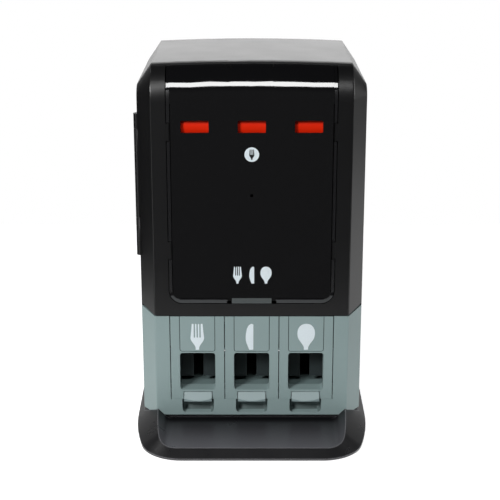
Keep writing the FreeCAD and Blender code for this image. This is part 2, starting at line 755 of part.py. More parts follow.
def knife_symbol(x):
    # The back runs straight up, and the edge curves from the tip down to the narrow handle
    foot_shares = ((-0.1, 0), (1, 0))
    edge_shares = ((1, 0.97), (0.5, 1), (-0.25, 0.93), (-0.85, 0.70), (-1, 0.42), (-0.85, 0.28))
    middle = x - KNIFE_SHIFT
    foot = [symbol_point(middle, KNIFE_WIDTH, a, u) for a, u in foot_shares]
    edge = [symbol_point(middle, KNIFE_WIDTH, a, u) for a, u in edge_shares]
    blade = raised([
        Part.makeLine(foot[0], foot[1]),
        Part.makeLine(foot[1], edge[0]),
        curve(edge),
        Part.makeLine(edge[-1], foot[0]),
    ])
    return blade.makeFillet(KNIFE_FOOT_R, straight_edges(blade, "Y", lambda c: c.z < SYMBOL_LOW_Z + TINY))


def spoon_symbol(x):
    neck_share = SPOON_NECK / SPOON_WIDTH
    neck_shares = ((neck_share, 0), (neck_share, 0.09))
    bowl_shares = ((0.44, 0.22), (0.86, 0.42), (1, 0.64), (0.80, 0.87), (0.42, 0.975))
    right, left = balanced_symbol(x, SPOON_WIDTH, neck_shares + bowl_shares)
    top = symbol_point(x, SPOON_WIDTH, 0, 1)
    bowl = right[1:] + [top] + left[:0:-1]
    return raised([
        Part.makeLine(left[0], right[0]),
        Part.makeLine(right[0], right[1]),
        curve(bowl),
        Part.makeLine(left[1], left[0]),
    ])


# Chutes, magazines, ejectors, levers and springs

def pair(x, inner, outer, y0, y1, z0, z1):
    # Two equal blocks, left and right of a lane's middle
    return [
        box(x - outer, x - inner, y0, y1, z0, z1),
        box(x + inner, x + outer, y0, y1, z0, z1),
    ]


def spring_axis_x(x):
    return x + MAGAZINE_OUTER + SPRING_OFFSET


def chute(x):
    # Floor under the stack, on two side legs and a rear one
    low = CHUTE_FLOOR_Z - CHUTE_FLOOR
    rear_inner = BACK_PANEL_Y - MAGAZINE_WALL
    parts = pair(x, MAGAZINE_HALF, MAGAZINE_OUTER, FRONT_Y + LEG_SETBACK, BACK_PANEL_Y,
                 HOUSING_Z, low)
    parts.append(box(x - MAGAZINE_HALF, x + MAGAZINE_HALF, rear_inner, BACK_PANEL_Y, HOUSING_Z, low))
    parts.append(box(x - MAGAZINE_OUTER, x + MAGAZINE_OUTER, TUNNEL_Y, BACK_PANEL_Y, low, CHUTE_FLOOR_Z))
    return fused(parts)


def magazine(x):
    # Walls round the stack, open at the front above the lower housing, with guides for the handles
    rear_inner = BACK_PANEL_Y - MAGAZINE_WALL
    loading_y = FRONT_Y + LOADING_SETBACK
    guide_y = FRONT_Y + GUIDE_SETBACK
    parts = pair(x, MAGAZINE_HALF, MAGAZINE_OUTER, TUNNEL_Y, BACK_PANEL_Y, CHUTE_FLOOR_Z, LOADING_Z)
    parts += pair(x, MAGAZINE_HALF, MAGAZINE_OUTER, loading_y, BACK_PANEL_Y, LOADING_Z, MAGAZINE_TOP_Z)
    parts += pair(x, GUIDE_SLOT / 2, MAGAZINE_HALF, guide_y, guide_y + GUIDE_THICK,
                  CHUTE_FLOOR_Z + GUIDE_LIFT, LOADING_Z)
    left, right = x - MAGAZINE_HALF, x + MAGAZINE_HALF
    parts.append(box(left, right, rear_inner, BACK_PANEL_Y, CHUTE_FLOOR_Z, MAGAZINE_TOP_Z))
    rib_low = RAIL_LOW_Z - SLIDING - GUIDE_RIB
    rib_high = RAIL_HIGH_Z + SLIDING
    rib_reach = MAGAZINE_OUTER + GUIDE_RIB_REACH
    for setback, length in ((FRONT_RIB_SETBACK, FRONT_RIB), (REAR_RIB_SETBACK, REAR_RIB)):
        y = FRONT_Y + setback
        for z in (rib_low, rib_high):
            parts += pair(x, MAGAZINE_OUTER, rib_reach, y, y + length, z, z + GUIDE_RIB)
    peg_y = SPRING_Y + SPRING_REACH
    peg_x = spring_axis_x(x) + SPRING_R + SPRING_WIRE
    parts.append(rod(PEG_R, V(x + MAGAZINE_HALF, peg_y, SPRING_Z), V(peg_x, peg_y, SPRING_Z)))
    tower = fused(parts)
    slot_front = BAR_Y - EJECT_STROKE - BAR_SLOT_MARGIN
    slot_back = BAR_Y + BAR_THICK + BAR_SLOT_MARGIN
    slot = box(x - MAGAZINE_OUTER - OVER, x + MAGAZINE_OUTER + OVER, slot_front, slot_back,
               CHUTE_FLOOR_Z, BAR_Z + BAR_HEIGHT + BAR_SLOT_MARGIN)
    inside = box(left, right, TUNNEL_Y, rear_inner, CHUTE_FLOOR_Z, LOADING_Z)
    return tower.cut(slot.cut(inside))


def ejector(x):
    rear = BAR_Y + BAR_THICK
    nose = PIN_Y - RAIL_NOSE
    parts = pair(x, RAIL_INNER, RAIL_OUTER, nose, rear, RAIL_LOW_Z, RAIL_HIGH_Z)
    parts += pair(x, RAIL_INNER, RAIL_OUTER, rear - LEG_WIDTH, rear, BAR_Z, RAIL_HIGH_Z)
    parts.append(box(x - RAIL_OUTER, x + RAIL_OUTER, BAR_Y, rear, BAR_Z, BAR_Z + BAR_HEIGHT))
    lug_y = SPRING_Y - LUG_WIDTH / 2
    parts.append(box(x + RAIL_INNER, x + RAIL_OUTER, lug_y, lug_y + LUG_WIDTH,
                     RAIL_LOW_Z, RAIL_HIGH_Z + LUG_HEIGHT))
    peg_x = spring_axis_x(x) + SPRING_R + SPRING_WIRE
    parts.append(rod(PEG_R, V(x + RAIL_INNER, SPRING_Y, SPRING_Z), V(peg_x, SPRING_Y, SPRING_Z)))
    slide = fused(parts)
    slot_half = PIN_R + SLIDING / 2
    slot = box(x - RAIL_OUTER - OVER, x + RAIL_OUTER + OVER, PIN_Y - slot_half, PIN_Y + slot_half,
               PIN_Z - PIN_SLOT_LENGTH / 2, PIN_Z + PIN_SLOT_LENGTH / 2)
    return slide.cut(slot)


def lever(x):
    hub_low, hub_high = LEVER_Z - LEVER_HUB_R, LEVER_Z + LEVER_HUB_R
    lip_y, half = FRONT_Y - LIP_REACH, TAB_WIDTH / 2
    left = x - half
    side = [
        V(left, LEVER_Y, hub_high),
        V(left, FRONT_Y + TAB_SETBACK, TAB_TOP_Z),
        V(left, lip_y, LIP_TOP_Z),
        V(left, lip_y, LIP_TOP_Z - LIP_THICK),
        V(left, FRONT_Y + TAB_SETBACK, TAB_UNDER_Z),
        V(left, LEVER_Y, hub_low),
    ]
    lip_r = (half ** 2 + LIP_SAG ** 2) / (2 * LIP_SAG)
    lip_middle = V(x, lip_y + lip_r, 0)
    tab = prism(side, TAB_WIDTH * X).common(rod(lip_r, lip_middle, lip_middle + TOP_Z * Z))
    pivot = V(x, LEVER_Y, LEVER_Z)
    parts = [tab, rod(LEVER_HUB_R, pivot - ARM_OUTER * X, pivot + ARM_OUTER * X)]
    arms = pair(x, ARM_INNER, ARM_OUTER, LEVER_Y - ARM_WIDTH / 2, LEVER_Y + ARM_WIDTH / 2,
                LEVER_Z, LEVER_Z + ARM_LENGTH)
    tip = pivot + ARM_LENGTH * Z
    for sign in (-1, 1):
        arms.append(rod(ARM_WIDTH / 2, tip + sign * ARM_INNER * X, tip + sign * ARM_OUTER * X))
        arms.append(rod(PIN_R, tip + sign * RAIL_INNER * X, tip + sign * ARM_OUTER * X))
    for arm in arms:
        arm.rotate(pivot, X, -REST_TILT)
    body = fused(parts + arms)
    return body.cut(rod(AXLE_R + RUNNING, pivot - 2 * ARM_OUTER * X, pivot + 2 * ARM_OUTER * X))


def biarc(p0, t0, p1, t1):
    # Two arcs that leave one point and reach another along the given directions
    chord, lean = p1 - p0, t0 + t1
    spread = 2 * (1 - t0.dot(t1))
    along = chord.dot(lean)
    reach = (math.sqrt(along ** 2 + spread * chord.dot(chord)) - along) / spread
    q0, q1 = p0 + reach * t0, p1 - reach * t1
    meet = (q0 + q1) / 2
    arcs = []
    for start, corner, end in ((p0, q0, meet), (meet, q1, p1)):
        middle = (start + end) / 2
        half, height = (end - start).Length / 2, (middle - corner).Length
        radius = reach * half / height
        to_centre = math.hypot(reach, radius)
        top = corner + (middle - corner) * ((to_centre - radius) / height)
        arcs.append(Part.Arc(start, top, end).toShape())
    return arcs


def least_gap(edges):
    # Clear distance between the turns of a coil, on the ends of its arcs, half a turn or more apart
    points = [edge.Vertexes[0].Point for edge in edges]
    apart = 4
    gaps = [(p - q).Length for i, p in enumerate(points) for q in points[i + apart:]]
    return round(min(gaps) - SPRING_WIRE, 2)


def return_spring(x):
    # Extension coil along Y from the ejector's peg to the magazine's peg, in quarter turns
    centre_x = spring_axis_x(x)
    start = SPRING_Y + PEG_R + SPRING_WIRE / 2
    length = SPRING_REACH - 2 * PEG_R - SPRING_WIRE
    climb = length / (SPRING_TURNS * 2 * math.pi)

    def station(step):
        turn = step * math.pi / 2
        across, up = SPRING_R * math.cos(turn), SPRING_R * math.sin(turn)
        heading = V(-up, climb, across)
        return V(centre_x + across, start + climb * turn, SPRING_Z + up), heading.normalize()

    edges = []
    for step in range(4 * SPRING_TURNS):
        edges += biarc(*station(step), *station(step + 1))
    print("spring", round(centre_x, 1), "least gap", least_gap(edges))
    place, heading = station(0)
    ring = Part.Wire(Part.makeCircle(SPRING_WIRE / 2, place, heading))
    return Part.Wire(edges).makePipeShell([ring], True, False)


# Rear housing, back panel and hinge

def knuckle_spans():
    # Heights of the five hinge knuckles from the top down, housing and door by turns
    spans, top = [], HINGE_TOP_Z
    for length in (KNUCKLE_END, KNUCKLE_DOOR, KNUCKLE_MIDDLE, KNUCKLE_DOOR, KNUCKLE_END):
        spans.append((top - length, top))
        top -= length
    return spans[0::2], spans[1::2]


def hinge_rod(radius, low, high):
    return rod(radius, V(HINGE_X, HINGE_Y, low), V(HINGE_X, HINGE_Y, high))


def pin_span():
    # The pin stands out a little at both ends of the knuckles
    housing_spans, door_spans = knuckle_spans()
    return housing_spans[-1][0] - HINGE_PIN_STAND, housing_spans[0][1] + HINGE_PIN_STAND


def hinge_bore():
    low, high = pin_span()
    return hinge_rod(HINGE_PIN_R + RUNNING, low - SLIDING, high + SLIDING)


def door_hinge_pin():
    low, high = pin_span()
    return hinge_rod(HINGE_PIN_R, low, high)


def rear_housing():
    shell = casing().cut(below_split(0, 0)).cut(door_side(0))
    housing_spans, door_spans = knuckle_spans()
    for low, high in door_spans:
        shell = shell.cut(hinge_rod(HINGE_R + SLIDING, low - SLIDING / 2, high + SLIDING / 2))
    parts = [shell]
    for low, high in housing_spans:
        parts.append(hinge_rod(HINGE_R, low + SLIDING / 2, high - SLIDING / 2))
        parts.append(box(-HALF - LEAF, -HALF + WALL, HINGE_Y, HINGE_Y + LEAF_REACH,
                         low + SLIDING / 2, high - SLIDING / 2))
    for side in (-1, 1):
        for z in BACK_SCREW_ZS[1:]:
            parts.append(back_boss(side * BACK_SCREW_X, z))
    housing = fused(parts).cut(hinge_bore())
    for side in (-1, 1):
        for z in BACK_SCREW_ZS[1:]:
            housing = housing.cut(back_bore(side * BACK_SCREW_X, z))
    return housing


def back_screw_places():
    return [V(side * BACK_SCREW_X, BACK_Y, z) for side in (-1, 1) for z in BACK_SCREW_ZS]


def back_panel():
    low = HOUSING_Z + FLANGE + BACK_PANEL_GAP
    room = box(-HALF, HALF, BACK_PANEL_Y, BACK_Y, low, TOP_Z)
    panel = body_form(WALL + BACK_PANEL_GAP, low, BACK_Y).common(room)
    for place in back_screw_places():
        panel = panel.cut(rod(BACK_SCREW_R + RUNNING, place - WALL * Y, place))
        panel = panel.cut(rod(BACK_HEAD_R + RUNNING, place - BACK_HEAD * Y, place))
    return panel


def back_panel_screws():
    screws = []
    for place in back_screw_places():
        seat = place - BACK_HEAD * Y
        shank = rod(BACK_SCREW_R, seat - BACK_SCREW_LENGTH * Y, seat)
        screws.append(rod(BACK_HEAD_R, seat, place).fuse(shank))
    return Part.makeCompound(screws)


def magnet_span():
    right = HALF - WALL
    return right - MAGNET_WIDTH, right, MAGNET_LOW_Z, MAGNET_LOW_Z + MAGNET_HEIGHT


def keeper_y():
    return PARTING_Y - PARTING_GAP


def door_magnet():
    x0, x1, low, high = magnet_span()
    front = keeper_y() + KEEPER_GAP
    return box(x0, x1, front, front + MAGNET_DEPTH, low, high).common(body_form(WALL))


def keeper_plate():
    x0, x1, low, high = magnet_span()
    return box(x0, x0 + KEEPER_WIDTH, keeper_y() - KEEPER, keeper_y(), low, high)


# Door

def panel_prism(half, low, radius, front, back):
    # Column behind the panel's outline, open at the top
    return rounded_block(-half, half, front, back, low, TOP_Z + OVER, radius, False)


def window(x, margin, front, back):
    half = WINDOW_WIDTH / 2 + margin
    return rounded_block(x - half, x + half, front, back, WINDOW_LOW_Z - margin,
                         WINDOW_LOW_Z + WINDOW_HEIGHT + margin, WINDOW_R + margin)


def catch(side, low, grow, front, back):
    inner, outer = PANEL_HALF - CATCH_WIDTH, PANEL_HALF + PANEL_GAP
    x0, x1 = sorted((side * (inner - grow), side * outer))
    return box(x0, x1, front, back, low - grow, low + CATCH_LENGTH + grow)


def catch_places():
    return [(side, low) for side in (-1, 1) for low in CATCH_LOW_ZS]


def door_frame():
    shell = casing().common(door_side(PARTING_GAP)).cut(below_split(DOOR_GAP, DOOR_FLARE))
    front = FRONT_Y - OVER
    recess = panel_prism(PANEL_HALF + PANEL_GAP, PANEL_LOW_Z - PANEL_GAP, PANEL_CORNER_R + PANEL_GAP,
                         front, PANEL_TOP_Y + PANEL_GAP)
    shell = shell.cut(recess.cut(crowned_slab(PANEL_SEAT, BACK_Y)))
    for name, x in LANES:
        shell = shell.cut(window(x, WINDOW_MARGIN, front, FRONT_Y + WALL + OVER))
    housing_spans, door_spans = knuckle_spans()
    for low, high in housing_spans:
        shell = shell.cut(hinge_rod(HINGE_R + SLIDING, low - SLIDING / 2, high + SLIDING / 2))
    parts = [shell]
    for low, high in door_spans:
        parts.append(hinge_rod(HINGE_R, low + SLIDING / 2, high - SLIDING / 2))
    x0, x1, low, high = magnet_span()
    boss = box(x0, x0 + KEEPER_WIDTH, FRONT_Y, keeper_y() - KEEPER, low, high)
    parts.append(boss.common(body_form(WALL / 2)))
    for side, low in catch_places():
        nub = catch(side, low, 0, FRONT_Y + FLANGE_SINK, FRONT_Y + WALL)
        parts.append(nub)
    return fused(parts).cut(hinge_bore())


def front_panel():
    front, back = FRONT_Y - OVER, PANEL_TOP_Y
    flange = panel_prism(PANEL_HALF, PANEL_LOW_Z, PANEL_CORNER_R, front, back)
    flange = flange.common(crowned_slab(FLANGE_SINK, BACK_Y))
    raised_form = crowned_slab(FLANGE_SINK, BACK_Y)
    raised_form.translate(-FIELD_HEIGHT * Y)
    field = panel_prism(FIELD_HALF, FIELD_LOW_Z, FIELD_CORNER_R, front, back).common(raised_form)
    snap = box(-SNAP_HALF, SNAP_HALF, FRONT_Y - SNAP_STEP, FRONT_Y + PANEL_SEAT,
               PANEL_LOW_Z, PANEL_LOW_Z + SNAP_HEIGHT)
    panel = fused([flange, field, snap]).cut(crowned_slab(PANEL_SEAT, BACK_Y))
    for side in (-1, 1):
        x0, x1 = sorted((side * SNAP_HALF, side * (SNAP_HALF + NOTCH_WIDTH)))
        panel = panel.cut(box(x0, x1, front, back, PANEL_LOW_Z, PANEL_LOW_Z + NOTCH_HEIGHT))
        x0, x1 = sorted((side * SNAP_HALF, side * (SNAP_HALF + TOP_NOTCH_WIDTH)))
        panel = panel.cut(box(x0, x1, back - TOP_NOTCH_LENGTH, back, TOP_Z - NOSE_R, TOP_Z))
    for side, low in catch_places():
        panel = panel.cut(catch(side, low, PANEL_GAP, front, FRONT_Y + WALL))
    for name, x in LANES:
        panel = panel.cut(window(x, 0, front, FRONT_Y + WALL))
    gate_y = FRONT_Y - FIELD_HEIGHT
    gate = V(0, gate_y, GATE_Z)
    panel = panel.cut(rod(GATE_R, gate, gate + GATE_DEPTH * Y))
    panel = panel.cut(rod(GATE_RING_R, gate, gate + GATE_RING_DEPTH * Y))
    return panel


def flag_bracket():
    inner_y = FRONT_Y + WALL
    ear_y = FLAG_Y + FLAG_HUB_R
    lefts = [share * PITCH - BRACKET_EAR / 2 for share in LANE_EDGE_SHARES]
    parts = [box(lefts[0], lefts[-1] + BRACKET_EAR, inner_y, inner_y + BRACKET_PLATE,
                 BRACKET_LOW_Z, BRACKET_HIGH_Z)]
    for left in lefts:
        outline = [
            V(left, inner_y, BRACKET_HIGH_Z),
            V(left, inner_y, FLAG_Z - BRACKET_EAR_RISE),
            V(left, ear_y, FLAG_Z - FLAG_HUB_R),
            V(left, ear_y, FLAG_Z + BRACKET_EAR_RISE),
        ]
        parts.append(prism(outline, BRACKET_EAR * X))
    pivot = V(0, FLAG_Y, FLAG_Z)
    return fused(parts).cut(rod(FLAG_ROD_R + RUNNING, pivot - 2 * PITCH * X, pivot + 2 * PITCH * X))


def flag_rod():
    pivot = V(0, FLAG_Y, FLAG_Z)
    reach = (LANE_EDGE_SHARES[-1] * PITCH + BRACKET_EAR) * X
    return rod(FLAG_ROD_R, pivot - reach, pivot + reach)


def flag(x):
    pivot = V(x, FLAG_Y, FLAG_Z)
    half = FLAG_WIDTH / 2
    outer = rod(FLAG_R, pivot - half * X, pivot + half * X)
    inner = rod(FLAG_R - FLAG_THICK, pivot - half * X, pivot + half * X)
    wedge_reach = 2 * FLAG_R
    spread = wedge_reach * math.tan(math.radians(FLAG_HALF_ANGLE))
    wedge = prism([
        pivot - half * X,
        pivot + V(-half, -wedge_reach, -spread),
        pivot + V(-half, -wedge_reach, spread),
    ], FLAG_WIDTH * X)
    parts = [outer.cut(inner).common(wedge)]
    hub_half = FLAG_HUB_WIDTH / 2
    parts.append(rod(FLAG_HUB_R, pivot - hub_half * X, pivot + hub_half * X))
    for side in (-1, 1):
        web_x = x + side * (hub_half - FLAG_WEB / 2) - FLAG_WEB / 2
        parts.append(box(web_x, web_x + FLAG_WEB, FLAG_Y - FLAG_R + FLAG_THICK / 2, FLAG_Y,
                         FLAG_Z - FLAG_HUB_R, FLAG_Z + FLAG_HUB_R))
    arm = Part.makeBox(FEELER_WIDTH, math.hypot(FEELER_BACK, FEELER_DROP), FEELER_THICK,
                       pivot + V(-FEELER_WIDTH / 2, 0, -FEELER_THICK / 2))
    arm.rotate(pivot, X, -math.degrees(math.atan2(FEELER_DROP, FEELER_BACK)))
    parts.append(arm)
    tip = pivot + V(0, FEELER_BACK, -FEELER_DROP)
    parts.append(rod(FEELER_FOOT_R, tip - FEELER_WIDTH / 2 * X, tip + FEELER_WIDTH / 2 * X))
    shape = fused(parts)
    return shape.cut(rod(FLAG_ROD_R + RUNNING, pivot - FLAG_WIDTH * X, pivot + FLAG_WIDTH * X))


# Write every piece

def pieces():
    made = {
        "base_tray": base_tray(),
        "rubber_feet": rubber_feet(),
        "base_screws": base_screws(),
        "lower_housing": lower_housing(),
        "lever_axle": lever_axle(),
        "rear_housing": rear_housing(),
        "back_panel": back_panel(),
        "back_panel_screws": back_panel_screws(),
        "door_hinge_pin": door_hinge_pin(),
        "door_magnet": door_magnet(),
        "door_frame": door_frame(),
        "front_panel": front_panel(),
        "keeper_plate": keeper_plate(),
        "flag_bracket": flag_bracket(),
        "flag_rod": flag_rod(),
    }
    symbols = {"fork": fork_symbol, "knife": knife_symbol, "spoon": spoon_symbol}
    for name, x in LANES:
        made[name + "_lane_plate"] = lane_plate(x)
        made[name + "_label"] = label(x)
        made[name + "_symbol"] = symbols[name](x)
        made[name + "_chute"] = chute(x)
        made[name + "_magazine"] = magazine(x)
        made[name + "_ejector"] = ejector(x)
        made[name + "_lever"] = lever(x)
        made[name + "_return_spring"] = return_spring(x)
        made[name + "_flag"] = flag(x)
    return made


os.makedirs("parts", exist_ok=True)
for node, shape in pieces().items():
    shape.exportStep("parts/" + node + ".step")
    print(node, "solids", len(shape.Solids), "valid", shape.isValid(), "volume", round(shape.Volume, 1))
print("ejector stroke", round(EJECT_STROKE, 4))
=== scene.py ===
import json
import math

import bpy
import bmesh
from mathutils import Matrix, Vector


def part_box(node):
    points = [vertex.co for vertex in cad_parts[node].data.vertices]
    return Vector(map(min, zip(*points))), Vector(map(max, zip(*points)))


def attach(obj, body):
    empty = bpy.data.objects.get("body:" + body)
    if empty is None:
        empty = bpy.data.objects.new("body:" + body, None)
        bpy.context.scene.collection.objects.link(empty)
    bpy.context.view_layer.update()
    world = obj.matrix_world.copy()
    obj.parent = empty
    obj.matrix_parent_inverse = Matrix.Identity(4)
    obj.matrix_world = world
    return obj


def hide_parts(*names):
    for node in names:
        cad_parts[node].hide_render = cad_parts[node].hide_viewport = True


# Cutlery dispenser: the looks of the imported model, in metres and in its frame

LANE_NAMES = ("fork", "knife", "spoon")

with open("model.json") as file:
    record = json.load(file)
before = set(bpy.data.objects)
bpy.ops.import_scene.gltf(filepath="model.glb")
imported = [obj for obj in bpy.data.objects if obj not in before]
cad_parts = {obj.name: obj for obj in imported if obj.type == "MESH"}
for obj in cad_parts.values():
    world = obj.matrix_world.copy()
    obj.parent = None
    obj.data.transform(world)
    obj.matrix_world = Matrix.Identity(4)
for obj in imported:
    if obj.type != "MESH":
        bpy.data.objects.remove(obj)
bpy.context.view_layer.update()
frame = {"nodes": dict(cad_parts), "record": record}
nodes = frame["nodes"]


# Materials. Sizes and depths are in metres; a span is a low and a high value

MIDDLE_SPAN = (0.3, 0.7)
GRAIN_SIZE, GRAIN_DEPTH = 0.0004, 0.000012
DRIFT_SIZE, SHEEN_SIZE = 0.09, 0.03
TONE_SHARE, TONE_LIFT = 1.06, 0.0006
SHINE_SPAN = (-0.03, 0.15)
# Share of its colour left in a recess, as painted shade
RECESS_SHADE_SHARE = 0.08
# Span along Y from the dish's painted shade at the back to its painted light at the front
DISH_SHADE_SPAN = (-0.060, -0.135)
DISH_SHINE_LOSS = 0.40
DISH_LEAN = 0.3
# The first two size the painted highlight along sharp edges
DISH_HIGHLIGHT_WIDTH, DISH_HIGHLIGHT_LEAN, EDGE_SAMPLES = 0.0020, 0.08, 8
WIPE_SIZE, WIPE_STRETCH = 0.012, (1, 1, 0.15)
SMUDGE_SIZE, MARK_SPAN = 0.05, (0.15, 0.45)
WAVE_SIZE, WAVE_DEPTH = 0.02, 0.000001
LINE_SIZE, LINE_DEPTH = 0.0006, 0.000004
LINE_SMOOTHER, LINE_ROUGHER = 0.06, 0.08
MOTTLE_SIZE, MOTTLE_SPAN, MOTTLE_SHARE = 0.0012, (0.35, 0.65), 0.94
INK_SIZE, INK_DEPTH = 0.0003, 0.000006
DUST_SIZE, DUST_SPAN, DUST_MOST = 0.004, (0.5, 0.8), 0.5
DUST_SHARE, DUST_LIFT = 2, 0.02
RUBBER_SIZE, RUBBER_DEPTH = 0.0008, 0.00004


class Shader:
    """A Principled material under construction, with short calls that add and link nodes."""

    def __init__(self, name, colour, roughness):
        self.material = bpy.data.materials.new(name)
        self.material.use_nodes = True
        self.tree = self.material.node_tree
        self.surface = self.tree.nodes["Principled BSDF"]
        self.surface.inputs["Base Color"].default_value = (*colour, 1)
        self.surface.inputs["Roughness"].default_value = roughness
        self.colour = colour
        self.place = self.add("ShaderNodeTexCoord").outputs["Object"]

    def add(self, kind, **settings):
        node = self.tree.nodes.new(kind)
        for key, value in settings.items():
            setattr(node, key, value)
        return node

    def link(self, source, target):
        self.tree.links.new(source, target)

    def feed(self, value, socket):
        """Sets a number on the socket itself, and links anything else to it."""
        if isinstance(value, (int, float)):
            socket.default_value = value
        else:
            self.link(value, socket)

    def noise(self, size, detail, stretch=(1, 1, 1)):
        """Noise whose features are about this many metres across."""
        mapping = self.add("ShaderNodeMapping")
        mapping.inputs["Scale"].default_value = [share / size for share in stretch]
        texture = self.add("ShaderNodeTexNoise")
        texture.inputs["Scale"].default_value = 1
        texture.inputs["Detail"].default_value = detail
        self.link(self.place, mapping.inputs["Vector"])
        self.link(mapping.outputs["Vector"], texture.inputs["Vector"])
        return texture.outputs["Fac"]

    def remap(self, value, span, to_low, to_high):
        """The value turned from a span into another range, and held at its ends."""
        low, high = span
        node = self.add("ShaderNodeMapRange")
        node.inputs["From Min"].default_value = low
        node.inputs["From Max"].default_value = high
        node.inputs["To Min"].default_value = to_low
        node.inputs["To Max"].default_value = to_high
        self.link(value, node.inputs["Value"])
        return node.outputs["Result"]

    def math(self, operation, first, second=0):
        node = self.add("ShaderNodeMath", operation=operation)
        self.feed(first, node.inputs[0])
        self.feed(second, node.inputs[1])
        return node.outputs[0]

    def axis(self, name):
        """One coordinate of the point on the object; the one called side is its distance from the middle."""
        split = self.add("ShaderNodeSeparateXYZ")
        self.link(self.place, split.inputs["Vector"])
        if name == "side":
            return self.math("ABSOLUTE", split.outputs["X"])
        return split.outputs[name]

    def outward(self):
        """How far the surface leans away from the middle plane and towards the front."""
        geometry = self.add("ShaderNodeNewGeometry")
        split = self.add("ShaderNodeSeparateXYZ")
        self.link(geometry.outputs["Normal"], split.inputs["Vector"])
        sidewise = self.math("MULTIPLY", split.outputs["X"], self.math("SIGN", self.axis("X")))
        return self.math("SUBTRACT", sidewise, split.outputs["Y"])

    def edges(self, radius, lean):
        """1 along edges, within about the radius of them, and 0 elsewhere.

        The lean sets how sharp an edge has to be."""
        rounded = self.add("ShaderNodeBevel", samples=EDGE_SAMPLES)
        rounded.inputs["Radius"].default_value = radius
        geometry = self.add("ShaderNodeNewGeometry")
        dot = self.add("ShaderNodeVectorMath", operation="DOT_PRODUCT")
        self.link(rounded.outputs["Normal"], dot.inputs[0])
        self.link(geometry.outputs["Normal"], dot.inputs[1])
        return self.remap(dot.outputs["Value"], (1, 1 - lean), 0, 1)

    def within(self, areas):
        """1 where the point lies inside one of the areas, and 0 elsewhere.

        Each area is given by its span along each axis that bounds it."""
        total = 0
        for spans in areas:
            inside = 1
            for name, (low, high) in spans.items():
                above = self.math("GREATER_THAN", self.axis(name), low)
                below = self.math("LESS_THAN", self.axis(name), high)
                inside = self.math("MULTIPLY", inside, self.math("MULTIPLY", above, below))
            total = self.math("MAXIMUM", total, inside)
        return total

    def tint(self, factor, colour, over=None):
        """Mixes a second colour into the base colour by the factor."""
        node = self.add("ShaderNodeMix", data_type="RGBA")
        if over is None:
            node.inputs["A"].default_value = (*self.colour, 1)
        else:
            self.link(over, node.inputs["A"])
        node.inputs["B"].default_value = (*colour, 1)
        self.link(factor, node.inputs["Factor"])
        result = node.outputs["Result"]
        self.link(result, self.surface.inputs["Base Color"])
        return result

    def bump(self, height, depth):
        node = self.add("ShaderNodeBump")
        node.inputs["Strength"].default_value = 1
        node.inputs["Distance"].default_value = depth
        self.link(height, node.inputs["Height"])
        self.link(node.outputs["Normal"], self.surface.inputs["Normal"])

    def roughen(self, value):
        self.link(value, self.surface.inputs["Roughness"])

    def shine(self, level):
        self.feed(level, self.surface.inputs["Specular IOR Level"])


def moulded(name, colour, roughness, spread=0.06, shine=0.5, back_shine=None, recesses=(), hollow=None,
            dish=None):
    """Moulded plastic: spark-eroded grain, a slow drift of tone and patches of finer or coarser sheen.

    The shine is even, or goes over into another one at the back. Recesses are narrow lines with painted
    shade: their colour is darkened and their shine taken away, as their walls see no light. A hollow, given
    by its areas and its colour, gets that colour as painted shade. A dish, given by its areas and its three
    colours, is duller; its colour is painted shade at the back going over into painted light towards the
    front, and every sharp edge of the material gets a painted highlight."""
    shader = Shader(name, colour, roughness)
    drift = shader.remap(shader.noise(DRIFT_SIZE, detail=3), MIDDLE_SPAN, 0, 1)
    tone_and_painted_light = shader.tint(drift, [part * TONE_SHARE + TONE_LIFT for part in colour])
    level = shine
    if back_shine is not None:
        level = shader.remap(shader.axis("Y"), SHINE_SPAN, shine, back_shine)
    # A hollow gets painted shade in its own colour
    if hollow:
        areas, shade_colour = hollow
        tone_and_painted_light = shader.tint(shader.within(areas), shade_colour, tone_and_painted_light)
    # Painted shade in narrow recesses: a darker colour and no shine
    if recesses:
        inside = shader.within(recesses)
        shader.tint(inside, [part * RECESS_SHADE_SHARE for part in colour], tone_and_painted_light)
        level = shader.math("MULTIPLY", level, shader.math("SUBTRACT", 1, inside))
    # Painted shade at the dish's back going over into painted light at its front, and a painted highlight on
    # every sharp edge of the material
    if dish:
        areas, shaded_back_colour, lit_front_colour, highlight_edge_colour = dish
        inward = shader.math("LESS_THAN", shader.outward(), DISH_LEAN)
        inside = shader.math("MULTIPLY", shader.within(areas), inward)
        front_light_share = shader.remap(shader.axis("Y"), DISH_SHADE_SPAN, 0, 1)
        tone_and_painted_light = shader.tint(inside, shaded_back_colour, tone_and_painted_light)
        tone_and_painted_light = shader.tint(shader.math("MULTIPLY", inside, front_light_share), lit_front_colour, tone_and_painted_light)
        shader.tint(shader.edges(DISH_HIGHLIGHT_WIDTH, DISH_HIGHLIGHT_LEAN), highlight_edge_colour, tone_and_painted_light)
        level = shader.math("SUBTRACT", level, shader.math("MULTIPLY", inside, DISH_SHINE_LOSS))
    shader.shine(level)
    patches = shader.noise(SHEEN_SIZE, detail=4)
    shader.roughen(shader.remap(patches, MIDDLE_SPAN, roughness - spread / 2, roughness + spread / 2))
    shader.bump(shader.noise(GRAIN_SIZE, detail=1), GRAIN_DEPTH)
    return shader.material


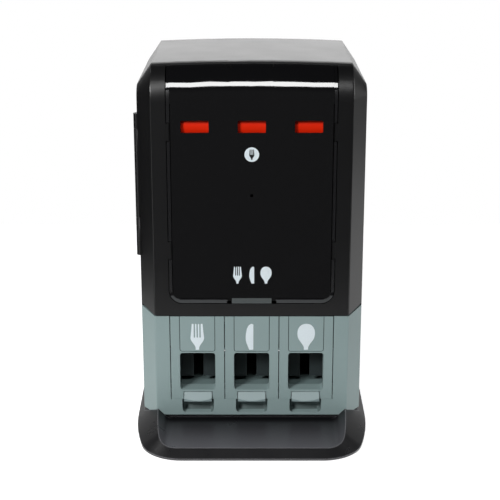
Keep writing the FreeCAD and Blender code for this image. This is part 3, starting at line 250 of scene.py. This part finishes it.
def polished(name, colour, roughness, spread, shine=0.5, patches=(), recesses=()):
    """Polished plastic with faint wipe marks in its gloss.

    Each patch is a paler, duller part, given by its areas, its colour and what it adds to the roughness.
    Recesses are narrow lines with painted shade: a darker colour and no shine."""
    shader = Shader(name, colour, roughness)
    wipes = shader.noise(WIPE_SIZE, detail=4, stretch=WIPE_STRETCH)
    marks = shader.math("MULTIPLY", wipes, shader.noise(SMUDGE_SIZE, detail=3))
    gloss = shader.remap(marks, MARK_SPAN, roughness, roughness + spread)
    tinted = None
    for areas, patch_colour, dullness in patches:
        inside = shader.within(areas)
        tinted = shader.tint(inside, patch_colour, tinted)
        gloss = shader.math("ADD", gloss, shader.math("MULTIPLY", inside, dullness))
    level = shine
    # Painted shade in narrow recesses: a darker colour and no shine
    if recesses:
        inside = shader.within(recesses)
        shader.tint(inside, [part * RECESS_SHADE_SHARE for part in colour], tinted)
        level = shader.math("MULTIPLY", shine, shader.math("SUBTRACT", 1, inside))
    shader.shine(level)
    shader.roughen(gloss)
    shader.bump(shader.noise(WAVE_SIZE, detail=1), WAVE_DEPTH)
    return shader.material


def metal(name, colour, roughness, stretch=(1, 1, 1)):
    """Ground or drawn metal with fine lines along one way."""
    shader = Shader(name, colour, roughness)
    shader.surface.inputs["Metallic"].default_value = 1
    lines = shader.noise(LINE_SIZE, detail=3, stretch=stretch)
    shader.roughen(shader.remap(lines, MIDDLE_SPAN, roughness - LINE_SMOOTHER, roughness + LINE_ROUGHER))
    shader.bump(lines, LINE_DEPTH)
    return shader.material


def printed(name, colour, roughness):
    """Pad-printed ink: even, with a fine mottle at its surface."""
    shader = Shader(name, colour, roughness)
    mottle = shader.remap(shader.noise(MOTTLE_SIZE, detail=3), MOTTLE_SPAN, 0, 1)
    shader.tint(mottle, [part * MOTTLE_SHARE for part in colour])
    shader.bump(shader.noise(INK_SIZE, detail=2), INK_DEPTH)
    return shader.material


def rubbery(name, colour, roughness):
    """Matt rubber with dust in patches."""
    shader = Shader(name, colour, roughness)
    dust = shader.remap(shader.noise(DUST_SIZE, detail=5), DUST_SPAN, 0, DUST_MOST)
    shader.tint(dust, [part * DUST_SHARE + DUST_LIFT for part in colour])
    shader.bump(shader.noise(RUBBER_SIZE, detail=3), RUBBER_DEPTH)
    return shader.material


SAGE = (0.230, 0.306, 0.306)
CHARCOAL = (0.011, 0.011, 0.012)
BLACK = (0.0050, 0.0050, 0.0054)
GLOSS = (0.0045, 0.0045, 0.0050)

# Narrow lines and small areas, as spans in the object's coordinates. Side is the distance from the middle.
# The label and panel gaps, the field's step and the scoops get painted shade, the flange's foot and sides
# painted light, and the dish painted shade and light; the snap bar is paler and duller
# Painted shade in the gaps round the labels
LABEL_SHADE_LINES = [{"side": (0, 0.1080), "Y": (-0.0553, -0.0532), "Z": (0.0938, 0.1384)}]
# Painted shade in the gap round the front panel
PANEL_SHADE_LINES = [
    {"side": (0.0950, 0.0967), "Y": (-0.0558, -0.0312), "Z": (0.1650, 0.4330)},
    {"side": (0, 0.0967), "Y": (-0.0558, -0.0525), "Z": (0.1500, 0.1650)},
]
SNAP_BAR = [{"side": (0, 0.0230), "Z": (0.1547, 0.1612)}]
# Painted light on the foot of the front panel's flange
FLANGE_FOOT_LIT = [
    {"side": (0.0280, 0.0840), "Z": (0.1547, 0.1590)},
    {"side": (0.0840, 0.0956), "Y": (-0.0566, -0.0553), "Z": (0.1547, 0.1640)},
]
# Painted light on the sides of the front panel's flange
FLANGE_SIDES_LIT = [{"side": (0.0921, 0.0956), "Z": (0.1680, 0.4050)}]
# Painted shade on the walls of the panel field's step
FIELD_STEP_SHADE = [
    {"side": (0.0912, 0.0921), "Z": (0.1680, 0.3900)},
    {"side": (0.0280, 0.0840), "Z": (0.1590, 0.1606)},
    {"side": (0.0840, 0.0930), "Y": (-0.05675, -0.0561), "Z": (0.1580, 0.1680)},
    {"side": (0, 0.0016), "Z": (0.2829, 0.2861)},
]
# Painted shade in the scoops under the tabs
SCOOP_SHADE = [{"side": (0, 0.0850), "Y": (-0.0552, -0.0400), "Z": (0.0160, 0.0345)}]
# The dish, which gets painted shade at its back and painted light at its front
DISH = [{"side": (0, 0.1127), "Y": (-0.1428, -0.0550), "Z": (0.0070, 0.0216)}]

slots = {
    # Dish colours: painted shade at the back, painted light at the front, painted highlight on sharp edges
    "charcoal_plastic": moulded("charcoal_plastic", CHARCOAL, 0.30,
                                dish=(DISH, (0.006, 0.006, 0.007), (0.092, 0.092, 0.102),
                                      (0.150, 0.150, 0.160))),
    # Painted shade in the gap round the front panel
    "black_plastic": moulded("black_plastic", BLACK, 0.36, 0.02, shine=0.40, back_shine=0.60,
                             recesses=PANEL_SHADE_LINES),
    "black_plastic_rear": moulded("black_plastic_rear", BLACK, 0.48, 0.03),
    # The snap bar is paler and duller; the flange's foot and sides get painted light and are duller; the
    # field's step gets painted shade
    "gloss_black_plastic": polished("gloss_black_plastic", GLOSS, 0.05, 0.04, shine=1.0,
                                    patches=[(SNAP_BAR, (0.032, 0.042, 0.043), 0.4),
                                             (FLANGE_FOOT_LIT, (0.020, 0.023, 0.025), 0.3),
                                             (FLANGE_SIDES_LIT, (0.006, 0.006, 0.007), 0.2)],
                                    recesses=FIELD_STEP_SHADE),
    # Painted shade in the label gaps and in the scoops
    "sage_plastic": moulded("sage_plastic", SAGE, 0.45, recesses=LABEL_SHADE_LINES,
                            hollow=(SCOOP_SHADE, (0.125, 0.170, 0.168))),
    # Painted shade in the gaps round the labels
    "sage_label": moulded("sage_label", SAGE, 0.40, recesses=LABEL_SHADE_LINES),
    "sage_lever": moulded("sage_lever", (0.205, 0.272, 0.278), 0.38),
    "grey_plastic": moulded("grey_plastic", (0.144, 0.200, 0.200), 0.48),
    "dark_grey_plastic": moulded("dark_grey_plastic", (0.020, 0.027, 0.028), 0.6, shine=0.15),
    "natural_plastic": moulded("natural_plastic", (0.14, 0.14, 0.133), 0.40),
    "pale_print": printed("pale_print", (0.71, 0.79, 0.83), 0.45),
    "red_plastic": polished("red_plastic", (0.68, 0.017, 0.001), 0.42, 0.08, shine=0.2),
    "bright_steel": metal("bright_steel", (0.58, 0.58, 0.59), 0.28, (0.05, 1, 1)),
    "zinc_steel": metal("zinc_steel", (0.52, 0.53, 0.54), 0.38),
    "spring_steel": metal("spring_steel", (0.45, 0.46, 0.47), 0.32),
    "ferrite": moulded("ferrite", (0.05, 0.05, 0.052), 0.6),
    "rubber": rubbery("rubber", (0.022, 0.022, 0.022), 0.8),
}


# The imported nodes, with softened edges

SOFT_EDGES = {
    "base_tray": 0.0016, "lower_housing": 0.0006, "rear_housing": 0.0006, "door_frame": 0.0006,
    "front_panel": 0.0004, "back_panel": 0.0005, "flag_bracket": 0.0003,
    "lane_plate": 0.0004, "label": 0.0002, "magazine": 0.0003, "chute": 0.0003, "ejector": 0.0003,
    "lever": 0.0005, "flag": 0.0002, "door_magnet": 0.0003, "keeper_plate": 0.0002,
}
WELD_REACH = 0.000002
SHARP_ANGLE = math.radians(28)
EDGE_STEPS = 2
LARGE_FACE_WEIGHT = 50


def soften(node, width):
    """Joins the node's facets, rounds its sharp edges and shades it smooth."""
    weld = node.modifiers.new("weld", "WELD")
    weld.merge_threshold = WELD_REACH
    bevel = node.modifiers.new("soft_edges", "BEVEL")
    bevel.width = width
    bevel.segments = EDGE_STEPS
    bevel.limit_method = "ANGLE"
    bevel.angle_limit = SHARP_ANGLE
    bevel.use_clamp_overlap = True
    bevel.harden_normals = False
    shading = node.modifiers.new("even_shading", "WEIGHTED_NORMAL")
    shading.weight = LARGE_FACE_WEIGHT
    shading.keep_sharp = True


def kind_of(node_name):
    """A lane piece's name without its lane, and any other name as it is."""
    lane, _, rest = node_name.partition("_")
    return rest if lane in LANE_NAMES else node_name


for entry in frame["record"]["subparts"]:
    node = nodes[entry["node"]]
    node.data.materials.clear()
    node.data.materials.append(slots[entry["material_slot"]])
    width = SOFT_EDGES.get(kind_of(entry["node"]))
    if width:
        soften(node, width)


# Printed marks on the front panel: a disc with a fork, and the three symbols in a row

PRINT_THICK = 0.00010
DISC_STEPS = 64
PRINT_Y = -0.0570
DISC_Z, DISC_R = 0.3323, 0.0083
DISC_SYMBOL_HEIGHT = 0.0118
ROW_Z, ROW_PITCH, ROW_SYMBOL_HEIGHT = 0.1895, 0.0165, 0.0205


def mesh_piece(name, mesh, body, slot_name):
    """A piece of the scene alone, on a body of the part and in a slot of the record."""
    piece = bpy.data.objects.new(name, mesh)
    bpy.context.scene.collection.objects.link(piece)
    mesh.materials.clear()
    mesh.materials.append(slots[slot_name])
    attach(piece, body)
    return piece


def symbol_copy(name, lane, middle, height, slot_name):
    """A smaller print of a lane's symbol."""
    source = nodes[lane + "_symbol"]
    low, high = (Vector(corner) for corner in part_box(lane + "_symbol"))
    mesh = source.data.copy()
    scale = height / (high.z - low.z)
    thin = Matrix.Diagonal((scale, PRINT_THICK / (high.y - low.y), scale, 1))
    centre = (low + high) / 2
    mesh.transform(Matrix.Translation(middle) @ thin @ Matrix.Translation(-centre))
    return mesh_piece(name, mesh, "door", slot_name)


def printed_disc(name, middle, radius, slot_name):
    shape = bmesh.new()
    bmesh.ops.create_cone(shape, cap_ends=True, segments=DISC_STEPS, radius1=radius, radius2=radius,
                          depth=PRINT_THICK)
    mesh = bpy.data.meshes.new(name)
    shape.to_mesh(mesh)
    shape.free()
    mesh.transform(Matrix.Translation(middle) @ Matrix.Rotation(math.pi / 2, 4, "X"))
    return mesh_piece(name, mesh, "door", slot_name)


printed_disc("panel_disc", Vector((0, PRINT_Y - PRINT_THICK / 2, DISC_Z)), DISC_R, "pale_print")
disc_face = Vector((0, PRINT_Y - PRINT_THICK * 1.5, DISC_Z))
symbol_copy("disc_fork", "fork", disc_face, DISC_SYMBOL_HEIGHT, "black_plastic")
for lane, step in zip(LANE_NAMES, (-1, 0, 1)):
    place = Vector((step * ROW_PITCH, PRINT_Y - PRINT_THICK / 2, ROW_Z))
    symbol_copy("panel_" + lane, lane, place, ROW_SYMBOL_HEIGHT, "pale_print")


# Screws with cross recesses, in place of the plain ones

def separate_boxes(node):
    """The bounding boxes of a node's loose pieces."""
    shape = bmesh.new()
    shape.from_mesh(node.data)
    bmesh.ops.remove_doubles(shape, verts=shape.verts, dist=WELD_REACH)
    left = set(shape.verts)
    boxes = []
    while left:
        island, fresh = [], [left.pop()]
        while fresh:
            vertex = fresh.pop()
            island.append(vertex.co.copy())
            for edge in vertex.link_edges:
                other = edge.other_vert(vertex)
                if other in left:
                    left.remove(other)
                    fresh.append(other)
        low = Vector([min(place[i] for place in island) for i in range(3)])
        high = Vector([max(place[i] for place in island) for i in range(3)])
        boxes.append((low, high))
    shape.free()
    return boxes


RIM_STEPS = 32
ROUNDING_SHARE = 0.3
CROSS_REACH_SHARE, CROSS_HALF_SHARE = 0.62, 0.16
CROSS_DEPTH_SHARE, CROSS_TAPER_SHARE = 0.62, 0.55


def circle_points(radius, z):
    return [Vector((radius * math.cos(a), radius * math.sin(a), z))
            for a in (2 * math.pi * step / RIM_STEPS for step in range(RIM_STEPS))]


def cross_points(reach, half, z):
    quarter = ((reach, -half), (reach, half), (half, half))
    points = []
    for turn in range(4):
        spin = Matrix.Rotation(turn * math.pi / 2, 2)
        points += [Vector((*(spin @ Vector(place)), z)) for place in quarter]
    return points


def join_rings(shape, first, second):
    """Closes the wall between two rings of as many points."""
    count = len(first)
    for i in range(count):
        j = (i + 1) % count
        shape.faces.new((first[i], first[j], second[j], second[i]))


def ring_edges(shape, ring):
    return [shape.edges.get((a, b)) or shape.edges.new((a, b)) for a, b in zip(ring, ring[1:] + ring[:1])]


def add_screw(shape, spin, seat, head_r, head_height, shank_r, shank_length):
    """A screw whose head rises from the seat along the spun Z, with a tapered cross recess."""
    def ring(points):
        return [shape.verts.new(seat + spin @ place) for place in points]

    rounding = head_height * ROUNDING_SHARE
    foot = ring(circle_points(shank_r, -shank_length))
    neck = ring(circle_points(shank_r, 0))
    under = ring(circle_points(head_r, 0))
    side = ring(circle_points(head_r, head_height - rounding))
    rim = ring(circle_points(head_r - rounding, head_height))
    for first, second in ((foot, neck), (neck, under), (under, side), (side, rim)):
        join_rings(shape, first, second)
    shape.faces.new(foot[::-1])
    reach, half = head_r * CROSS_REACH_SHARE, head_r * CROSS_HALF_SHARE
    mouth = ring(cross_points(reach, half, head_height))
    depth = head_height * (1 - CROSS_DEPTH_SHARE)
    pit = ring(cross_points(reach * CROSS_TAPER_SHARE, half * CROSS_TAPER_SHARE, depth))
    join_rings(shape, mouth, pit)
    shape.faces.new(pit)
    bmesh.ops.triangle_fill(shape, use_beauty=True, edges=ring_edges(shape, rim) + ring_edges(shape, mouth))


def cross_screws(node_name, outward, head_height, shank_r):
    """Redraws a node's screws; each box gives the head's radius, its face and the screw's length."""
    spin = outward.to_track_quat("Z", "Y").to_matrix()
    shape = bmesh.new()
    for low, high in separate_boxes(nodes[node_name]):
        middle = (low + high) / 2
        length = abs((high - low).dot(outward))
        face = middle + outward * length / 2
        head_r = (high.x - low.x) / 2
        seat = face - outward * head_height
        add_screw(shape, spin, seat, head_r, head_height, shank_r, length - head_height)
    bmesh.ops.recalc_face_normals(shape, faces=shape.faces)
    mesh = bpy.data.meshes.new(node_name + "_crossed")
    shape.to_mesh(mesh)
    shape.free()
    piece = mesh_piece(node_name + "_crossed", mesh, "dispenser", "zinc_steel")
    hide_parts(node_name)


BASE_HEAD, BASE_SHANK_R = 0.0024, 0.00175
BACK_HEAD, BACK_SHANK_R = 0.0016, 0.0015

cross_screws("base_screws", Vector((0, 0, -1)), BASE_HEAD, BASE_SHANK_R)
cross_screws("back_panel_screws", Vector((0, 1, 0)), BACK_HEAD, BACK_SHANK_R)


# Studio

def area_light(name, place, aim, size, power):
    data = bpy.data.lights.new(name, "AREA")
    data.shape = "RECTANGLE"
    data.size, data.size_y = size
    data.energy = power
    light = bpy.data.objects.new(name, data)
    light.location = place
    light.rotation_euler = (Vector(aim) - Vector(place)).to_track_quat("-Z", "Y").to_euler()
    bpy.context.scene.collection.objects.link(light)


def around(centre, distance, azimuth, elevation):
    """A place seen from the centre at an azimuth right of the camera and an elevation."""
    a, e = math.radians(azimuth), math.radians(elevation)
    return centre + distance * Vector((math.sin(a) * math.cos(e), -math.cos(a) * math.cos(e), math.sin(e)))


CENTRE = Vector((0, -0.02, 0.25))
NOSE = Vector((0, -0.05, 0.41))

# Each lamp's name, aim, distance, azimuth, elevation, size and power
LAMPS = (
    ("key", CENTRE, 2.0, -34, 30, (0.50, 0.50), 31),
    ("strip", NOSE, 2.0, 0, 43, (0.66, 0.54), 12.5),
    ("side", CENTRE, 2.2, 92, 16, (1.0, 1.4), 20),
    ("rim", CENTRE, 2.0, -119, 48, (0.50, 0.50), 4),
)
CARD_PLACE, CARD_AIM = (-0.80, -0.86, -0.04), (-0.10, -0.06, 0.25)
CARD_SIZE, CARD_POWER = (0.34, 0.34), 1.2

for name, aim, distance, azimuth, elevation, size, power in LAMPS:
    area_light(name, around(aim, distance, azimuth, elevation), aim, size, power)
area_light("card", CARD_PLACE, CARD_AIM, CARD_SIZE, CARD_POWER)


def shown_to(tree, *kinds):
    """1 for rays of any of these kinds, and 0 for the rest."""
    path = tree.nodes.new("ShaderNodeLightPath")
    total = path.outputs[kinds[0]]
    for kind in kinds[1:]:
        either = tree.nodes.new("ShaderNodeMath")
        either.operation = "MAXIMUM"
        tree.links.new(total, either.inputs[0])
        tree.links.new(path.outputs[kind], either.inputs[1])
        total = either.outputs[0]
    return total


FLOOR_LEFT, FLOOR_RIGHT = -0.50, 1.3
FLOOR_FRONT, FLOOR_BACK = -0.36, 0.80
FLOOR_LIFT = 0.75
FLOOR_GREY, FLOOR_ROUGHNESS, FLOOR_SHINE = 0.82, 0.9, 0.1


def pale_floor():
    mesh = bpy.data.meshes.new("floor")
    floor = bpy.data.objects.new("floor", mesh)
    corners = [(FLOOR_LEFT, FLOOR_FRONT, 0), (FLOOR_RIGHT, FLOOR_FRONT, 0), (FLOOR_RIGHT, FLOOR_BACK, 0),
               (FLOOR_LEFT, FLOOR_BACK, 0)]
    mesh.from_pydata(corners, [], [range(len(corners))])
    bpy.context.scene.collection.objects.link(floor)
    material = bpy.data.materials.new("floor")
    material.use_nodes = True
    tree = material.node_tree
    surface = tree.nodes["Principled BSDF"]
    surface.inputs["Base Color"].default_value = (FLOOR_GREY, FLOOR_GREY, FLOOR_GREY, 1)
    surface.inputs["Roughness"].default_value = FLOOR_ROUGHNESS
    surface.inputs["Specular IOR Level"].default_value = FLOOR_SHINE
    surface.inputs["Emission Color"].default_value = (1, 1, 1, 1)
    lift = tree.nodes.new("ShaderNodeMath")
    lift.operation = "MULTIPLY"
    lift.inputs[1].default_value = FLOOR_LIFT
    tree.links.new(shown_to(tree, "Is Camera Ray", "Is Glossy Ray", "Is Transmission Ray"), lift.inputs[0])
    tree.links.new(lift.outputs[0], surface.inputs["Emission Strength"])
    mesh.materials.append(material)


# The room's levels, and the spans of a direction's parts over which they change
WORLD_FRONT, WORLD_BEHIND = 0.05, 2.55
WORLD_ABOVE, WORLD_ASIDE = 0.02, 0.10
BEHIND_SPAN, ABOVE_SPAN, ASIDE_SPAN = (0.40, 0.95), (0.20, 0.60), (0.12, 0.40)


def graded(tree, value, span, to_start, to_end):
    """The value turned smoothly from a span into another range."""
    start, end = span
    node = tree.nodes.new("ShaderNodeMapRange")
    node.interpolation_type = "SMOOTHSTEP"
    node.inputs["From Min"].default_value = start
    node.inputs["From Max"].default_value = end
    node.inputs["To Min"].default_value = to_start
    node.inputs["To Max"].default_value = to_end
    tree.links.new(value, node.inputs["Value"])
    return node.outputs["Result"]


def pale_world():
    """White to the camera; for the rest a dim room with a bright backdrop low down behind."""
    world = bpy.data.worlds.new("studio")
    bpy.context.scene.world = world
    world.use_nodes = True
    tree = world.node_tree
    background = tree.nodes["Background"]
    background.inputs["Color"].default_value = (1, 1, 1, 1)
    direction = tree.nodes.new("ShaderNodeTexCoord")
    axes = tree.nodes.new("ShaderNodeSeparateXYZ")
    tree.links.new(direction.outputs["Generated"], axes.inputs["Vector"])
    behind = graded(tree, axes.outputs["Y"], BEHIND_SPAN, WORLD_FRONT, WORLD_BEHIND)
    low = graded(tree, axes.outputs["Z"], ABOVE_SPAN, 1, WORLD_ABOVE)
    aside = tree.nodes.new("ShaderNodeMath")
    aside.operation = "ABSOLUTE"
    tree.links.new(axes.outputs["X"], aside.inputs[0])
    middle = graded(tree, aside.outputs[0], ASIDE_SPAN, 1, WORLD_ASIDE)
    room = behind
    for share in (low, middle):
        product = tree.nodes.new("ShaderNodeMath")
        product.operation = "MULTIPLY"
        tree.links.new(room, product.inputs[0])
        tree.links.new(share, product.inputs[1])
        room = product.outputs[0]
    level = tree.nodes.new("ShaderNodeMix")
    tree.links.new(shown_to(tree, "Is Camera Ray"), level.inputs["Factor"])
    tree.links.new(room, level.inputs["A"])
    level.inputs["B"].default_value = 1
    tree.links.new(level.outputs["Result"], background.inputs["Strength"])


pale_floor()
pale_world()


# Camera, at the photograph's angle

CAMERA_DISTANCE = 1.472
CAMERA_ELEVATION = math.radians(17.4)
CAMERA_TARGET = Vector((-0.0020, -0.0561, 0.2197))
FOCAL_PIXELS, FRAME_PIXELS = 1279, 500
SENSOR_WIDTH = 36


def camera():
    data = bpy.data.cameras.new("camera")
    data.sensor_width = SENSOR_WIDTH
    data.lens = FOCAL_PIXELS / FRAME_PIXELS * data.sensor_width
    view = bpy.data.objects.new("camera", data)
    back = Vector((0, -math.cos(CAMERA_ELEVATION), math.sin(CAMERA_ELEVATION)))
    view.location = CAMERA_TARGET + CAMERA_DISTANCE * back
    view.rotation_euler = (math.pi / 2 - CAMERA_ELEVATION, 0, 0)
    bpy.context.scene.collection.objects.link(view)
    bpy.context.scene.camera = view


camera()
bpy.context.scene.view_settings.view_transform = "Standard"
